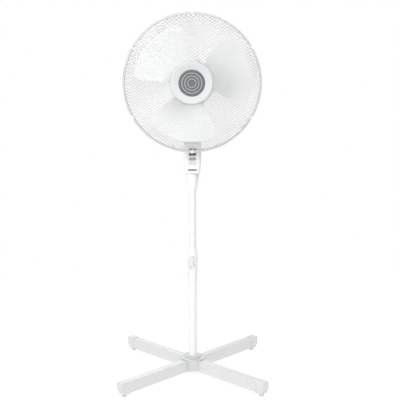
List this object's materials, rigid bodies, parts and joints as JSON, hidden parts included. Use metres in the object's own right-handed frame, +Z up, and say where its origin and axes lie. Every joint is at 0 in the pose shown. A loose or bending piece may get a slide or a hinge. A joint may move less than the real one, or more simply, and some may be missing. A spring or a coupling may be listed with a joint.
{
  "type": "pedestal fan",
  "caption": "White pedestal fan on a cross base, with telescopic pole, push-button housing and a round wire guard on a tilting, oscillating head.",
  "frame": {"origin": "on the floor, on the pole's axis, at the centre of the cross base", "axes": "+Z up along the pole; the fan blows towards -Y; +X is to the right for someone facing the fan"},
  "size_m": [0.4926, 0.4926, 1.2225],
  "materials": {
    "white_paint": "smooth powder-coated steel",
    "white_plastic": "moulded ABS, satin",
    "blade_plastic": "moulded polypropylene, glossy",
    "wire_white": "dip-coated steel wire",
    "collar_grey": "moulded, fine grain",
    "badge_grey": "satin disc with fine turned rings",
    "key_dark": "moulded key",
    "key_grey": "moulded key",
    "key_light": "moulded key",
    "foot_rubber": "matte rubber",
    "steel": "zinc-plated",
    "die_cast": "as cast",
    "laminations": "stacked sheet",
    "copper": "enamelled winding",
    "bush_bronze": "sintered bronze",
    "black_plastic": "moulded",
    "gear_nylon": "nylon"
  },
  "bodies": {
    "base": {"leg_bar_lower": "white_paint", "leg_bar_upper": "white_paint", "end_cap_back_right": "white_plastic", "end_cap_back_left": "white_plastic", "end_cap_front_left": "white_plastic", "end_cap_front_right": "white_plastic", "foot_pads": "foot_rubber", "base_hub": "white_plastic", "hub_bolt": "steel", "lower_tube": "white_paint", "tube_plug": "steel", "guide_bush": "black_plastic", "height_collar": "white_plastic"},
    "height_clamp": {"height_knob": "collar_grey", "height_screw": "steel"},
    "column": {"upper_tube": "white_paint", "slide_plug": "black_plastic", "pole_sleeve": "white_plastic", "control_front": "white_plastic", "control_back": "white_plastic", "control_screws": "steel", "switch_block": "black_plastic", "run_capacitor": "black_plastic", "cable_gland": "white_plastic", "neck_yoke": "white_plastic", "tilt_nut": "steel"},
    "off_key": {"button_off": "key_light"},
    "low_key": {"button_low": "key_grey"},
    "medium_key": {"button_medium": "key_dark"},
    "high_key": {"button_high": "key_dark"},
    "tilt_clamp": {"tilt_bolt": "steel", "tilt_knob": "white_plastic"},
    "neck": {"tilt_pivot": "white_plastic"},
    "rotor": {"rotor_core": "laminations", "motor_shaft": "steel", "fan_blades": "blade_plastic", "blade_nut": "white_plastic"},
    "clutch": {"clutch_gear": "gear_nylon"},
    "clutch_lift": {"clutch_shaft": "steel", "oscillation_knob": "white_plastic"},
    "crank": {"crank_gear": "gear_nylon"},
    "link": {"link_arm": "steel"},
    "head": {"gearbox_case": "die_cast", "motor_front_bracket": "die_cast", "motor_rear_bracket": "die_cast", "stator_core": "laminations", "stator_coils": "copper", "shaft_bushes": "bush_bronze", "motor_cover": "white_plastic", "motor_cowl": "white_plastic", "guard_nut": "white_plastic", "front_guard_wires": "wire_white", "front_guard_rings": "wire_white", "rear_guard_wires": "wire_white", "rear_guard_rings": "wire_white", "guard_rim": "white_plastic", "rim_clips": "white_plastic", "rim_lock_screw": "steel", "guard_cap": "white_plastic", "guard_badge": "badge_grey"}
  },
  "joints": [
    {"name": "height_slide", "type": "slide", "parent": "base", "child": "column", "axis": [0, 0, 1], "range_m": [-0.165, 0.08]},
    {"name": "height_knob_turn", "type": "hinge", "parent": "base", "child": "height_clamp", "pos_m": [0, 0, 0.399], "axis": [-0.1392, -0.9903, 0], "range_deg": [0, 360]},
    {"name": "button_off_press", "type": "slide", "parent": "column", "child": "off_key", "axis": [0, 1, 0], "range_m": [0, 0.0025], "stiffness_N_per_m": 400},
    {"name": "button_low_press", "type": "slide", "parent": "column", "child": "low_key", "axis": [0, 1, 0], "range_m": [0, 0.0025], "stiffness_N_per_m": 400},
    {"name": "button_medium_press", "type": "slide", "parent": "column", "child": "medium_key", "axis": [0, 1, 0], "range_m": [0, 0.0025], "stiffness_N_per_m": 400},
    {"name": "button_high_press", "type": "slide", "parent": "column", "child": "high_key", "axis": [0, 1, 0], "range_m": [0, 0.0025], "stiffness_N_per_m": 400},
    {"name": "tilt", "type": "hinge", "parent": "column", "child": "neck", "pos_m": [0, 0, 0.862], "axis": [1, 0, 0], "range_deg": [-25, 6]},
    {"name": "tilt_knob_turn", "type": "hinge", "parent": "column", "child": "tilt_clamp", "pos_m": [0, 0, 0.862], "axis": [1, 0, 0], "range_deg": [0, 360]},
    {"name": "oscillation", "type": "hinge", "parent": "neck", "child": "head", "pos_m": [0, 0, 0.92], "axis": [0, 0, 1], "range_deg": [-40, 40]},
    {"name": "link_swing", "type": "hinge", "parent": "neck", "child": "link", "pos_m": [0, 0.017, 0.9046], "axis": [0, 0, 1], "range_deg": [-50, 50]},
    {"name": "blade_spin", "type": "hinge", "parent": "head", "child": "rotor", "pos_m": [0, 0, 0.998], "axis": [0, 1, 0], "continuous": true},
    {"name": "clutch_spin", "type": "hinge", "parent": "head", "child": "clutch", "pos_m": [0.017, 0.097, 0.97], "axis": [0, 0, 1], "continuous": true},
    {"name": "crank_spin", "type": "hinge", "parent": "head", "child": "crank", "pos_m": [0, 0.08, 0.93], "axis": [0, 0, 1], "continuous": true},
    {"name": "oscillation_knob_lift", "type": "slide", "parent": "head", "child": "clutch_lift", "axis": [0, 0, 1], "range_m": [0, 0.008]}
  ],
  "couplings": [
    {"joint": "link_swing", "follows": "oscillation", "ratio": 1.25},
    {"joint": "clutch_spin", "follows": "blade_spin", "ratio": 0.03125},
    {"joint": "crank_spin", "follows": "blade_spin", "ratio": -0.0056818}
  ]
}
